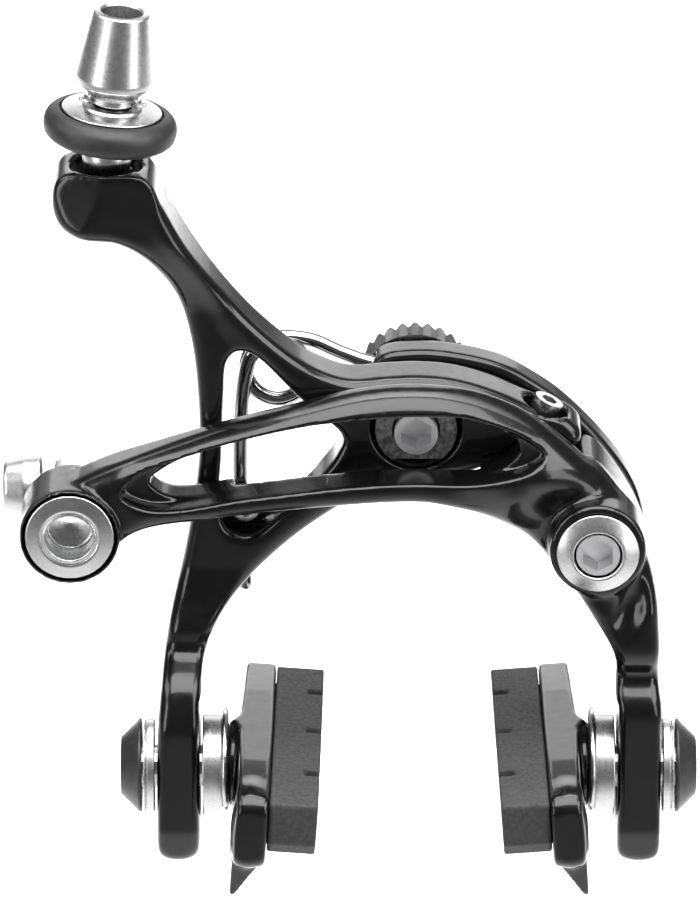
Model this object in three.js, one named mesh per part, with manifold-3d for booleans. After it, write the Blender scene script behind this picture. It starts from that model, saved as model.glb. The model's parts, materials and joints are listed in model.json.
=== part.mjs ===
// Dual-pivot rim brake caliper. Millimetres, +Z up, +X to the cable arm's leg, +Y towards the fork.
// The origin is the mounting bolt's axis in the plane where the seat washer's teeth meet the fork.
import * as THREE from 'three';
import { mergeVertices } from 'three/addons/utils/BufferGeometryUtils.js';
import Module from 'manifold-3d';

const wasm = await Module();
wasm.setup();

// Driving dimensions
const BOLT_R = 2.9; // M6 shafts
const CLEAR_R = 3.2; // holes round the M6 shafts
const GAP = 0.3; // running gap between neighbouring pieces
const PIVOT_X = 24; // side pivot, in the same frame as the centre bolt
const PIVOT_Z = -14;
const BRIDGE_FRONT = -10.1;
const BRIDGE_BACK = -5;
const WASHER_R = 7.9; // serrated seat washer
const HOUSING_ARM_FRONT = -19;
const HOUSING_ARM_BACK = -11.2;
const RECESS_FLOOR = -17.8; // pocket for the lock plate in the housing arm's front
const PLATE_FRONT = -19.5;
const CABLE_ARM_FRONT = -27.5;
const CABLE_ARM_BACK = -19.7;
const PIVOT_BOSS_BACK = -11.2;
const LEG_FRONT = -28.6; // both legs, round the pad slots
const LEG_BACK = -16.2;
const LEG_IN = 27.9; // the legs' flat cheeks, from the middle of the pad gap
const LEG_OUT = 33.8;
const PAD_Y = -22.4; // the pad studs' axis
const PAD_Z = -47.5;
const RIM_X = -0.9; // middle of the gap between the pads
const PAD_CAMBER = 4; // degrees the pads lean out with the arms open
const PAD_TOE = 0.8; // degrees their front ends stand further out
const PAD_RISE = 1; // rubber's middle above the stud
const ROLLER_X = 13.8; // follower roller under the housing arm's tail
const ROLLER_Z = -8.5;
const RIM_BEVEL = 1.2; // bevel round the arms' outlines
const RIM_SWELL = 0.4; // how far the arms' sides stand outside their outlines
const EYE_X = -45.8; // cable eye at the cable arm's tip
const EYE_Z = -12;
const EYE_R = 6.65;
const CLAMP_Y = -12.6; // cable clamp bolt, behind the eye and along X
const CLAMP_Z = -11.3;
const COIL_X = -18.5; // return spring's coil
const COIL_Z = 3.6;
const COIL_R = 4.2;
const BLOCK_X = -22.7; // spring block's screw, in the triangular window
const BLOCK_Z = -12.9;
const ADJ_BASE = [-40.7, -17, 36]; // ball seat of the cable adjuster
const ADJ_AXIS = new THREE.Vector3(0.108, 0, 0.994).normalize();

const COLOURS = {
  paint: [0x0b0b0c, 0.18, 0.1],
  blackMetal: [0x18181a, 0.35, 0.6],
  silver: [0xc4c6c9, 0.28, 1],
  steel: [0x9a9da1, 0.22, 1],
  rubber: [0x232426, 0.85, 0],
  plastic: [0x141415, 0.45, 0],
  bronze: [0x8a6a3a, 0.35, 1],
};

// Solids

function solidOf(geometry) {
  const bare = geometry.clone();
  bare.deleteAttribute('normal');
  bare.deleteAttribute('uv');
  const merged = mergeVertices(bare, 1e-4);
  const p = merged.attributes.position.array;
  const source = merged.index.array;
  const tris = [];
  let volume = 0;
  for (let i = 0; i < source.length; i += 3) {
    const [a, b, c] = [source[i], source[i + 1], source[i + 2]];
    if (a === b || b === c || a === c) continue;
    tris.push(a, b, c);
    const [u, v, w] = [a, b, c].map((k) => new THREE.Vector3(p[3 * k], p[3 * k + 1], p[3 * k + 2]));
    volume += u.dot(v.cross(w));
  }
  if (volume < 0) tris.reverse();
  return new wasm.Manifold(new wasm.Mesh({
    numProp: 3,
    vertProperties: new Float32Array(p),
    triVerts: new Uint32Array(tris),
  }));
}

function union(...solids) {
  return solids.reduce((all, next) => all.add(next));
}

function cut(solid, ...tools) {
  return tools.reduce((rest, tool) => rest.subtract(tool), solid);
}

function placed(geometry, matrix) {
  return solidOf(geometry.applyMatrix4(matrix));
}

// Straight rod between two points; r1 differs from r0 for a cone.
function rod(from, to, r0, r1 = r0, sides = 32, turn = 0) {
  const a = new THREE.Vector3(...from);
  const b = new THREE.Vector3(...to);
  const along = b.clone().sub(a);
  const geometry = new THREE.CylinderGeometry(r1, r0, along.length(), sides);
  const spin = new THREE.Quaternion().setFromAxisAngle(new THREE.Vector3(0, 1, 0), turn);
  const aim = new THREE.Quaternion().setFromUnitVectors(new THREE.Vector3(0, 1, 0), along.normalize());
  const middle = a.add(b).multiplyScalar(0.5);
  const one = new THREE.Vector3(1, 1, 1);
  return placed(geometry, new THREE.Matrix4().compose(middle, aim.multiply(spin), one));
}

function rodY(x, z, y0, y1, r0, r1 = r0, sides = 32) {
  return rod([x, y0, z], [x, y1, z], r0, r1, sides);
}

function ring(x, z, y0, y1, inner, outer, sides = 24) {
  return cut(rodY(x, z, y0, y1, outer, outer, sides), rodY(x, z, y0 - 1, y1 + 1, inner, inner, sides));
}

function box(x0, x1, y0, y1, z0, z1) {
  const geometry = new THREE.BoxGeometry(x1 - x0, y1 - y0, z1 - z0);
  geometry.translate((x0 + x1) / 2, (y0 + y1) / 2, (z0 + z1) / 2);
  return solidOf(geometry);
}

// Closed smooth outline through a few points.
function smoothShape(points, samples) {
  const nodes = points.map(([x, z]) => new THREE.Vector3(x, z, 0));
  const curve = new THREE.CatmullRomCurve3(nodes, true, 'centripetal');
  const path = curve.getPoints(samples).slice(0, -1);
  return new THREE.Shape(path.map((q) => new THREE.Vector2(q.x, q.y)));
}

// Plate between y0 and y1 from an outline in X and Z, with bevelled rims. Between them it swells by grow.
function plate(points, y0, y1, samples, rim = 0, grow = 0) {
  const geometry = new THREE.ExtrudeGeometry(smoothShape(points, samples), {
    depth: y1 - y0 - 2 * rim,
    bevelEnabled: rim > 0,
    bevelThickness: rim,
    bevelSize: rim,
    bevelOffset: grow - rim,
    bevelSegments: 1,
  });
  const basis = new THREE.Matrix4().makeBasis(
    new THREE.Vector3(1, 0, 0),
    new THREE.Vector3(0, 0, 1),
    new THREE.Vector3(0, -1, 0),
  );
  geometry.applyMatrix4(basis);
  geometry.translate(0, y1 - rim, 0);
  return geometry;
}

// Turned piece about an axis from a base point; the profile is [radius, height] from axis to axis.
function turned(profile, base, axis, sides = 32) {
  const geometry = new THREE.LatheGeometry(profile.map(([r, h]) => new THREE.Vector2(r, h)), sides);
  const aim = new THREE.Quaternion().setFromUnitVectors(new THREE.Vector3(0, 1, 0), axis);
  const one = new THREE.Vector3(1, 1, 1);
  return placed(geometry, new THREE.Matrix4().compose(new THREE.Vector3(...base), aim, one));
}

// Turned ring: the profile is closed by repeating its first point.
function turnedRing(profile, base, axis, sides = 32) {
  return turned([...profile, profile[0]], base, axis, sides);
}

function wire(points, radius, steps, sides = 8) {
  const curve = new THREE.CatmullRomCurve3(points.map((q) => new THREE.Vector3(...q)));
  const circle = new THREE.Shape();
  circle.absarc(0, 0, radius, 0, 2 * Math.PI, false);
  const geometry = new THREE.ExtrudeGeometry(circle, {
    extrudePath: curve,
    steps,
    curveSegments: sides / 2,
    bevelEnabled: false,
  });
  return solidOf(geometry);
}

function ease(value, from, to) {
  const t = Math.min(1, Math.max(0, (value - from) / (to - from)));
  return t * t * (3 - 2 * t);
}

// Moves the front and back of an arm plate to new depths along its height.
function shapeDepth(geometry, front, back, depthAt) {
  const p = geometry.attributes.position;
  for (let i = 0; i < p.count; i += 1) {
    const share = (p.getY(i) - front) / (back - front);
    const [f, b] = depthAt(p.getZ(i));
    p.setY(i, f + share * (b - f));
  }
  return geometry;
}

// Rounded slot for a pad stud, through a leg along X.
function legSlot(x0, x1) {
  const low = -52;
  const high = -43.5;
  const r = 3.3;
  return union(
    rod([x0, PAD_Y, low], [x1, PAD_Y, low], r, r, 24),
    rod([x0, PAD_Y, high], [x1, PAD_Y, high], r, r, 24),
    box(x0, x1, PAD_Y - r, PAD_Y + r, low, high),
  );
}

// Flat cheeks for the pad washers, on both sides of a leg.
function legCheeks(side) {
  const inner = [outX(side, 20), outX(side, LEG_IN)];
  const outer = [outX(side, LEG_OUT), outX(side, 44)];
  const cheek = ([a, b]) => box(Math.min(a, b), Math.max(a, b), -32, -12, -62, -36);
  return union(cheek(inner), cheek(outer));
}

function hexSocket(x, z, y0, y1, acrossFlats) {
  return rod([x, y0, z], [x, y1, z], acrossFlats / Math.sqrt(3), acrossFlats / Math.sqrt(3), 6);
}

// Bridge and what is fixed to it

function mountingBolt() {
  const shaft = rodY(0, 0, -21, 8, BOLT_R);
  return cut(shaft, hexSocket(0, 0, -22, -17.6, 4));
}

function seatWasher() {
  const faceY = -2.3;
  const body = ring(0, 0, -4.6, faceY, CLEAR_R, WASHER_R, 36);
  const teeth = [];
  for (const [radius, count] of [[WASHER_R - 0.75, 28], [WASHER_R - 2.6, 18]]) {
    for (let i = 0; i < count; i += 1) {
      const angle = (2 * Math.PI * i) / count;
      const x = radius * Math.cos(angle);
      const z = radius * Math.sin(angle);
      const tip = (radius + 0.45) / radius;
      teeth.push(rod([x, faceY - 0.3, z], [tip * x, 0, tip * z], 0.85, 0.08, 4));
    }
  }
  return union(body, ...teeth);
}

function bridge() {
  const outline = [
    [-5.6, 1.5], [-5.7, 4.2], [-4.3, 6], [-0.1, 6.7], [4.6, 6.4], [11.2, 4.8], [15.5, 2.4], [19.3, -0.4],
    [24.7, -6], [28.8, -12], [30.1, -16.2], [30.2, -20], [28, -22.5], [24.8, -21.6], [21, -18.6],
    [17.5, -14.5], [13.5, -10.2], [8.4, -7.6], [2, -6.6], [-3, -5.6], [-5.2, -2],
  ];
  const body = solidOf(plate(outline, BRIDGE_FRONT, BRIDGE_BACK, 64, 0.6, 0.6));
  return cut(
    body,
    rodY(0, 0, -12, -3, CLEAR_R),
    rodY(PIVOT_X, PIVOT_Z, -20, -3, CLEAR_R),
    rod([-8, -7, 4.5], [-2.2, -7, 4.5], 1.3, 1.3, 16),
  );
}

function lockPlate() {
  const disc = rodY(0, 0, PLATE_FRONT, RECESS_FLOOR - GAP, 5.4, 5.4, 48);
  const flats = box(-6, 6, -22, -17, -4.1, 4.1);
  return cut(disc.intersect(flats), rodY(0, 0, -22, -17, CLEAR_R));
}

function sideBolt() {
  const shaft = rodY(PIVOT_X, PIVOT_Z, -29, BRIDGE_BACK - 0.2, BOLT_R);
  return cut(shaft, hexSocket(PIVOT_X, PIVOT_Z, -30, -25.8, 4));
}

function sideCap() {
  const profile = [[3.2, 0], [5.45, 0], [5.45, 0.35], [4.1, 1.15], [3.5, 1.15], [3.2, 0.9]];
  return turnedRing(profile, [PIVOT_X, -28.2, PIVOT_Z], new THREE.Vector3(0, -1, 0), 28);
}

// Out of the bridge's nose, once round a coil behind the housing arm, then down through the spring block.
function springPath() {
  const points = [[-3, -7, 4.5], [-6, -6.9, 4.6], [-10, -6.5, 5.9], [-14, -6, 7.5]];
  for (let i = 0; i <= 10; i += 1) {
    const angle = Math.PI / 2 + (i * Math.PI) / 4;
    const across = COIL_R * Math.cos(angle);
    points.push([COIL_X + across, -5.9 - 0.27 * i, COIL_Z + COIL_R * Math.sin(angle)]);
  }
  points.push([-23.3, -8.7, -2], [-23.5, -8.5, -10], [-23.3, -8.5, -18], [-22.9, -8.5, -27.6]);
  return points;
}

function returnSpring() {
  return wire(springPath(), 1, 72, 6);
}

// Housing arm and what it carries

function housingArmDepth(z) {
  const low = ease(-z, 20, 41);
  const high = ease(z, 16, 28);
  const front = HOUSING_ARM_FRONT + low * (LEG_FRONT - HOUSING_ARM_FRONT) - high * 3.4;
  const back = HOUSING_ARM_BACK + low * (LEG_BACK - HOUSING_ARM_BACK) - high * 0.2;
  return [front, back];
}

function housingArmBody() {
  const outline = [
    [-45.6, 36.1], [-46.9, 34.8], [-47.3, 31.5], [-46.4, 29.3], [-43.6, 27.8], [-39.4, 27.3], [-36.1, 25.5],
    [-33.3, 22.4], [-30.9, 18], [-29.3, 11.9], [-28.5, 4], [-28.4, -4], [-29.2, -11], [-30.6, -19],
    [-32.6, -28], [-33.6, -35.4], [-34.4, -44.2], [-34.6, -54], [-34.5, -58], [-33.2, -59.3], [-30.6, -59.3],
    [-29.2, -58], [-28.9, -50], [-28.8, -40], [-28.9, -33.4], [-27.4, -28.3], [-25.4, -25], [-21.4, -20.5],
    [-16.7, -16], [-11.4, -12], [-6, -8.8], [0, -7.6], [6, -6.6], [11, -5], [16, -4.2], [19.8, -3.6],
    [21.6, -1.7], [20.2, 0.3], [15.1, 2.2], [9.6, 4.7], [4.6, 6.1], [0, 6.5], [-4.1, 6.3], [-8.8, 6],
    [-12.4, 7.1], [-15.8, 9], [-21.9, 14.4], [-27, 20.6], [-31.2, 27.2], [-33.6, 32], [-34.9, 35],
    [-36.2, 36.2], [-41, 36.4],
  ];
  const flat = plate(outline, HOUSING_ARM_FRONT, HOUSING_ARM_BACK, 120, RIM_BEVEL, RIM_SWELL);
  return solidOf(shapeDepth(flat, HOUSING_ARM_FRONT, HOUSING_ARM_BACK, housingArmDepth));
}

function housingArm() {
  const window = [
    [-23.6, 10.6], [-25, 9.2], [-25.5, 4], [-25.8, -4], [-26.1, -11.4], [-24.9, -15], [-22, -15.8],
    [-18, -12.6], [-14.5, -9.6], [-12.6, -7.2], [-10.6, -4.4], [-9.7, -1.6], [-12.2, 1.2], [-15.4, 4],
    [-20.4, 9.3], [-22, 10.4],
  ];
  const seat = new THREE.Vector3(...ADJ_BASE);
  const socket = turned(
    [[0, -8], [3.4, -8], [3.4, -2], [4.6, -0.4], [4.6, 4], [0, 4]],
    ADJ_BASE,
    ADJ_AXIS,
    24,
  );
  const cableWay = rod(
    seat.clone().addScaledVector(ADJ_AXIS, -7).toArray(),
    seat.clone().addScaledVector(ADJ_AXIS, -16).toArray(),
    1.6,
    1.6,
    20,
  );
  const screwHole = rod([14.9, -15.1, -3.6], [18.6, -15.1, 4.4], 2.35, 2.35, 24);
  const screwPocket = rod([16.9, -15.1, 0.8], [19.2, -15.1, 5.8], 3.2, 3.2, 24);
  return cut(
    housingArmBody(),
    solidOf(plate(window, -24, -8, 48)),
    rodY(0, 0, -24, -8, 4.4),
    rodY(0, 0, -24, RECESS_FLOOR, 5.9, 5.9, 48),
    legSlot(-38, -26),
    legCheeks(-1),
    box(-36, -20, -24, HOUSING_ARM_FRONT, -19, 0),
    socket,
    cableWay,
    screwHole,
    screwPocket,
  );
}

function centringScrew() {
  const foot = [15.15, -15.1, -3];
  const head = [17.75, -15.1, 2.6];
  const body = rod(foot, head, 2, 2, 24);
  return cut(body, rod([16.9, -15.1, 0.75], [18.6, -15.1, 4.43], 1.15, 1.15, 6));
}

function springBlock() {
  const body = box(-26.4, -20.6, -10.9, -5.9, -16.6, -10.8);
  const legWay = rod([-23.45, -8.5, -9], [-23.35, -8.5, -18], 1.35, 1.35, 20);
  return cut(body, legWay, rodY(BLOCK_X, BLOCK_Z, -12, -10.5, 1.7, 1.7, 20));
}

// Head in the arm's window, foot on the block behind it.
function blockScrew() {
  const head = turned(
    [[0, 0], [2.4, 0], [2.4, 2.2], [1.8, 3], [0, 3.2]],
    [BLOCK_X, -12.9, BLOCK_Z],
    new THREE.Vector3(0, -1, 0),
    28,
  );
  const neck = rodY(BLOCK_X, BLOCK_Z, -12.95, -10.8, 1.4, 1.4, 20);
  return cut(union(head, neck), hexSocket(BLOCK_X, BLOCK_Z, -16.5, -14.7, 2));
}

function ballSeat() {
  const profile = [
    [2.6, -1.1], [3.05, 0.4], [3.3, 1.6], [3.3, 2.4], [3, 3.3], [2.6, 3.9],
  ];
  return turnedRing(profile, ADJ_BASE, ADJ_AXIS, 24);
}

function adjusterDisc() {
  const profile = [
    [2.6, 4.2], [4.4, 4.2], [6.1, 4.5], [6.1, 4.9], [4.5, 5.2], [4.5, 7.3], [6.6, 7.7], [6.6, 8.3],
    [3.7, 8.5], [3.7, 8.9], [2.6, 8.9],
  ];
  return turnedRing(profile, ADJ_BASE, ADJ_AXIS, 28);
}

function rubberRing() {
  const profile = [
    [4.8, 5.5], [6.4, 5], [6.4, 4.5], [7.1, 4], [8.1, 4.3], [8.7, 5.2], [8.8, 6.2], [8.5, 7.2],
    [7.7, 7.9], [6.9, 8.1], [6.9, 7.45], [4.8, 7],
  ];
  return turnedRing(profile, ADJ_BASE, ADJ_AXIS, 28);
}

function clipWire() {
  const up = 9.7;
  const points = [];
  for (let i = 0; i <= 9; i += 1) {
    const a = -0.5 + (i / 9) * (Math.PI + 1);
    points.push([3.5 * Math.cos(a), up, 3.5 * Math.sin(a)]);
  }
  points.unshift([4.3, up + 0.5, -2.6]);
  points.push([-4.3, up + 0.5, -2.6]);
  const aim = new THREE.Quaternion().setFromUnitVectors(new THREE.Vector3(0, 1, 0), ADJ_AXIS);
  const one = new THREE.Vector3(1, 1, 1);
  const place = new THREE.Matrix4().compose(new THREE.Vector3(...ADJ_BASE), aim, one);
  return wire(points, 0.35, 20, 6).transform(place.elements);
}

// Cone with the housing socket on top and a threaded stem down through the disc and the ball seat.
function adjusterBarrel() {
  const profile = [
    [1.1, 1.2], [2.2, 1.2], [2.2, 9.2], [2.95, 9.3], [2.95, 10.3], [5.1, 12.1], [5.2, 12.9], [3.65, 21.7],
    [2.85, 21.9], [2.7, 21.7], [2.7, 12.5], [1.1, 11.6],
  ];
  return turnedRing(profile, ADJ_BASE, ADJ_AXIS, 28);
}

// Cable arm and what it carries

function cableArmDepth(z) {
  const low = ease(-z, 24, 38);
  return [
    CABLE_ARM_FRONT + low * (LEG_FRONT - CABLE_ARM_FRONT),
    CABLE_ARM_BACK + low * (LEG_BACK - CABLE_ARM_BACK),
  ];
}

function cableArmBody() {
  const outline = [
    [-46, -6.2], [-40.6, -3.6], [-33.9, -1.4], [-24.6, 1.5], [-15.4, 4], [-7.4, 6], [-0.2, 6.6], [7.1, 5.8],
    [13.7, 3.2], [19.1, -0.7], [24.4, -6.4], [28.5, -12.9], [31.3, -20.1], [32, -27.4], [32, -33.4],
    [32.7, -39.1], [33, -50], [32.9, -58], [31.6, -59.3], [28.6, -59.3], [27.2, -58], [27.1, -48],
    [27.1, -36], [26.9, -29.8], [24.4, -24.7], [21, -19.6], [17.7, -16], [13.7, -12.6], [8.4, -9.4],
    [3.1, -7.5], [-0.2, -7.1], [-15.3, -8.1], [-28.5, -9.8], [-37.1, -11.6], [-41, -14.5], [-46, -18],
    [-51.4, -13.6], [-51, -9.4],
  ];
  const flat = plate(outline, CABLE_ARM_FRONT, CABLE_ARM_BACK, 110, RIM_BEVEL, RIM_SWELL);
  return solidOf(shapeDepth(flat, CABLE_ARM_FRONT, CABLE_ARM_BACK, cableArmDepth));
}

// The arm is deep round its pivot, back to the bridge.
function pivotBoss() {
  const outline = [
    [23.3, -4.2], [25.1, -5.9], [29.1, -12.3], [31.5, -19.9], [31.6, -23.4], [28.6, -25.2], [24.2, -22.6],
    [19.6, -18.8], [17.5, -15.6], [17.4, -11.6], [18.8, -8], [20.8, -5.2], [22.1, -4],
  ];
  return solidOf(plate(outline, -21, PIVOT_BOSS_BACK, 56, 0.6, 0.2));
}

function cableArm() {
  const window = [
    [-38, -6.4], [-36.4, -4.2], [-33.7, -2.7], [-23.2, 0.5], [-11.4, 3], [-0.2, 4], [7, 3.6], [13.2, 1.4],
    [15.4, -0.4], [14.6, -2.2], [11, -4.1], [7, -4.8], [-0.2, -4.5], [-8.8, -5], [-21.9, -6.7], [-35.1, -8.4],
  ];
  const topRail = [
    [-37, -3.8], [-33.7, -2.6], [-23.2, 0.6], [-11.4, 3.2], [-0.2, 4.3], [7, 3.8], [13.2, 1.6], [14.6, 3.4],
    [7.1, 8], [-0.2, 9], [-15.4, 7], [-33.9, 1.4], [-38, -2],
  ];
  return cut(
    union(
      cableArmBody(),
      rodY(EYE_X, EYE_Z, -28, -18.2, EYE_R, EYE_R, 48),
      rodY(PIVOT_X, PIVOT_Z, -27.9, -20.5, 6.4, 6.4, 48),
      pivotBoss(),
    ),
    solidOf(plate(window, -30, -15, 60)),
    solidOf(plate(topRail, -30, -24.4, 40)),
    box(-24, 8.5, -22.1, -18, -13, -3.9),
    rodY(EYE_X, EYE_Z, -30, -15, 5.2, 5.2, 40),
    rodY(EYE_X, EYE_Z, -30, -26.8, 6.25, 6.25, 48),
    rodY(PIVOT_X, PIVOT_Z, -30, -9, 4.4),
    rodY(ROLLER_X, ROLLER_Z, -23.4, -18, 1.5, 1.5, 20),
    legSlot(24, 36),
    legCheeks(1),
  );
}

function anchorBarrel() {
  const flange = rodY(EYE_X, EYE_Z, -28.2, -27.1, 5.95, 5.95, 40);
  const shaft = rodY(EYE_X, EYE_Z, -27.5, -17.2, 4.9, 4.9, 36);
  const stub = rodY(EYE_X, EYE_Z, -17.4, -9.4, 4.2, 4.2, 36);
  const block = stub.intersect(box(EYE_X - 2.6, EYE_X + 6, -18, -8, EYE_Z - 6, EYE_Z + 6));
  const hole = turned(
    [[0, -5.6], [3.1, -3.8], [3.1, 0], [3.7, 0.6], [3.7, 2], [0, 2]],
    [EYE_X, -27.8, EYE_Z],
    new THREE.Vector3(0, -1, 0),
  );
  return cut(
    union(flange, shaft, block),
    hole,
    rod([EYE_X - 9, CLAMP_Y, CLAMP_Z], [EYE_X + 9, CLAMP_Y, CLAMP_Z], 2.4, 2.4, 24),
  );
}

function clampBolt() {
  const head = rod([EYE_X - 4.1, CLAMP_Y, CLAMP_Z], [EYE_X - 9.3, CLAMP_Y, CLAMP_Z + 0.3], 4.5, 3.3, 36);
  const shank = rod([EYE_X - 4.5, CLAMP_Y, CLAMP_Z], [EYE_X + 4.8, CLAMP_Y, CLAMP_Z], 2.1, 2.1, 24);
  const socket = rod([EYE_X - 6, CLAMP_Y, CLAMP_Z + 0.1], [EYE_X - 11, CLAMP_Y, CLAMP_Z + 0.4], 2.3, 2.3, 6);
  return cut(union(head, shank), socket);
}

function clampPlate() {
  const body = box(EYE_X - 3.8, EYE_X - 2.9, -16.6, -9, EYE_Z - 3.8, EYE_Z + 4.4);
  return cut(body, rod([EYE_X - 8, CLAMP_Y, CLAMP_Z], [EYE_X, CLAMP_Y, CLAMP_Z], 2.4, 2.4, 24));
}

// Pad assemblies: side is -1 for the housing arm's leg and 1 for the cable arm's.

function outX(side, distance) {
  return RIM_X + side * distance;
}

function alongStud(side, from, to, r0, r1 = r0, sides = 32) {
  return rod([outX(side, from), PAD_Y, PAD_Z], [outX(side, to), PAD_Y, PAD_Z], r0, r1, sides);
}

function studRing(side, from, to, inner, outer, outerEnd = outer) {
  const [a, b] = [Math.min(from, to) - 1, Math.max(from, to) + 1];
  return cut(alongStud(side, from, to, outer, outerEnd, 24), alongStud(side, a, b, inner, inner, 20));
}

function padNut(side) {
  const nut = studRing(side, 36.2, 38.6, CLEAR_R, 6, 3.9);
  const flange = studRing(side, 35.8, 36.3, CLEAR_R, 6.3);
  return union(flange, nut);
}

// Leans the pad outwards about its stud's inner end.
function leanPad(solid, side) {
  const pivot = new THREE.Vector3(outX(side, 22), PAD_Y, PAD_Z);
  const turn = new THREE.Matrix4().makeRotationY(THREE.MathUtils.degToRad(-side * PAD_CAMBER));
  turn.multiply(new THREE.Matrix4().makeRotationZ(THREE.MathUtils.degToRad(side * PAD_TOE)));
  const move = new THREE.Matrix4().makeTranslation(pivot.x, pivot.y, pivot.z);
  move.multiply(turn);
  move.multiply(new THREE.Matrix4().makeTranslation(-pivot.x, -pivot.y, -pivot.z));
  return solid.transform(move.elements);
}

// Curved bar that follows the rim, with corners rounded in side view.
function padBar(side, near, far, length, height, rise) {
  const y = PAD_Y;
  const z = PAD_Z + rise;
  const drop = 0.5;
  const h = height / 2;
  const l = length / 2;
  const shape = new THREE.Shape();
  shape.moveTo(y - l + 2, z - h - drop);
  shape.quadraticCurveTo(y, z - h + drop, y + l - 2, z - h - drop);
  shape.quadraticCurveTo(y + l, z - h - drop, y + l, z - drop);
  shape.quadraticCurveTo(y + l, z + h - drop, y + l - 2, z + h - drop);
  shape.quadraticCurveTo(y, z + h + drop, y - l + 2, z + h - drop);
  shape.quadraticCurveTo(y - l, z + h - drop, y - l, z - drop);
  shape.quadraticCurveTo(y - l, z - h - drop, y - l + 2, z - h - drop);
  const geometry = new THREE.ExtrudeGeometry(shape, {
    depth: far - near,
    curveSegments: 8,
    bevelEnabled: false,
  });
  const basis = new THREE.Matrix4().makeBasis(
    new THREE.Vector3(0, 1, 0),
    new THREE.Vector3(0, 0, 1),
    new THREE.Vector3(1, 0, 0),
  );
  geometry.applyMatrix4(basis);
  const start = Math.min(outX(side, near), outX(side, far));
  geometry.translate(start, 0, 0);
  return solidOf(geometry);
}

function padRubber(side) {
  const block = padBar(side, 12, 18.2, 44.6, 8.8, PAD_RISE);
  const tongue = padBar(side, 18, 19.7, 41, 5.4, PAD_RISE);
  let pad = union(block, tongue);
  for (const offset of [-13, 0, 13]) {
    const y = PAD_Y + offset;
    const [a, b] = [outX(side, 10.5), outX(side, 14.1)];
    pad = cut(pad, box(Math.min(a, b), Math.max(a, b), y - 0.8, y + 0.8, -60, -35));
  }
  return leanPad(pad, side);
}

// Channel that holds the rubber, a boss for the stud and a wheel guide fin below its front end.
function padHolder(side) {
  const shell = padBar(side, 18.5, 22.9, 46.4, 10, PAD_RISE - 0.2);
  const room = padBar(side, 17, 20, 41.8, 6.1, PAD_RISE);
  const boss = alongStud(side, 21, 23.5, 6.2, 5.6);
  const finAt = (out, forward, z) => [outX(side, out), PAD_Y - forward, z];
  const finRoot = rod(finAt(21, 16, -49.6), finAt(21.1, 17.4, -54.6), 2.3, 1.9, 16);
  const finTip = rod(finAt(21, 17.3, -54.2), finAt(22.5, 18, -58.5), 1.9, 0.5, 16);
  const studWay = alongStud(side, 21.6, 26, CLEAR_R);
  return leanPad(cut(union(shell, boss, finRoot, finTip), room, studWay), side);
}

function padStud(side) {
  return alongStud(side, 22.1, 38.2, BOLT_R);
}

function padClip(side) {
  const x = outX(side, 25.2);
  const points = [];
  for (let i = 0; i <= 8; i += 1) {
    const a = -0.4 + (i / 8) * (Math.PI + 0.8);
    points.push([x - side * 0.6, PAD_Y + 7.4 * Math.cos(a), PAD_Z + 7.4 * Math.sin(a)]);
  }
  return wire(points, 0.4, 18, 6);
}

function padLockScrew(side) {
  const x = outX(side, 20.6);
  const body = rod([x, PAD_Y + 15, -50.2], [x, PAD_Y + 15, -53.6], 1.25, 1.25, 20);
  return leanPad(cut(body, rod([x, PAD_Y + 15, -52.6], [x, PAD_Y + 15, -55], 0.75, 0.75, 6)), side);
}

function screwWay(side) {
  const x = outX(side, 20.6);
  return leanPad(rod([x, PAD_Y + 15, -50], [x, PAD_Y + 15, -56], 1.5, 1.5, 20), side);
}

// Assembly

const group = new THREE.Group();
group.name = 'rim_brake_caliper';

function add(name, finish, solid) {
  const mesh = solid.getMesh();
  const geometry = new THREE.BufferGeometry();
  geometry.setAttribute('position', new THREE.BufferAttribute(mesh.vertProperties, 3));
  geometry.setIndex(new THREE.BufferAttribute(mesh.triVerts, 1));
  geometry.computeVertexNormals();
  const [color, roughness, metalness] = COLOURS[finish];
  const piece = new THREE.Mesh(geometry, new THREE.MeshStandardMaterial({ color, roughness, metalness }));
  piece.name = name;
  group.add(piece);
}

add('mounting_bolt', 'steel', mountingBolt());
add('seat_washer', 'silver', seatWasher());
add('bridge', 'paint', bridge());
add('rear_thrust_washer', 'steel', ring(0, 0, -10.9, -10.4, CLEAR_R, 6));
add('lock_plate', 'silver', lockPlate());
add('side_pivot_bolt', 'steel', sideBolt());
add('side_pivot_cap', 'silver', sideCap());
add('side_thrust_washer', 'steel', ring(PIVOT_X, PIVOT_Z, -10.9, -10.4, CLEAR_R, 4.6));
add('return_spring', 'steel', returnSpring());

add('housing_arm', 'paint', housingArm());
add('centre_bushing', 'bronze', ring(0, 0, -17.6, -11.3, CLEAR_R, 4.1));
add('centring_screw', 'silver', centringScrew());
add('spring_block', 'plastic', springBlock());
add('spring_block_screw', 'silver', blockScrew());
add('ball_seat', 'silver', ballSeat());
add('adjuster_disc', 'silver', adjusterDisc());
add('adjuster_rubber_ring', 'rubber', rubberRing());
add('adjuster_clip', 'steel', clipWire());
add('adjuster_barrel', 'silver', adjusterBarrel());

add('cable_arm', 'paint', cableArm());
add('side_bushing', 'bronze', ring(PIVOT_X, PIVOT_Z, -27.5, -11.3, CLEAR_R, 4.1));
add('follower_roller', 'steel', ring(ROLLER_X, ROLLER_Z, -18.9, -12.4, 1.6, 3.2));
add('follower_pin', 'steel', rodY(ROLLER_X, ROLLER_Z, -23, -12, 1.3, 1.3, 20));
add('anchor_barrel', 'silver', anchorBarrel());
add('anchor_ring', 'steel', ring(EYE_X, EYE_Z, -17.9, -17.5, 5.2, 6));
add('anchor_clamp_plate', 'silver', clampPlate());
add('anchor_clamp_bolt', 'silver', clampBolt());

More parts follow.
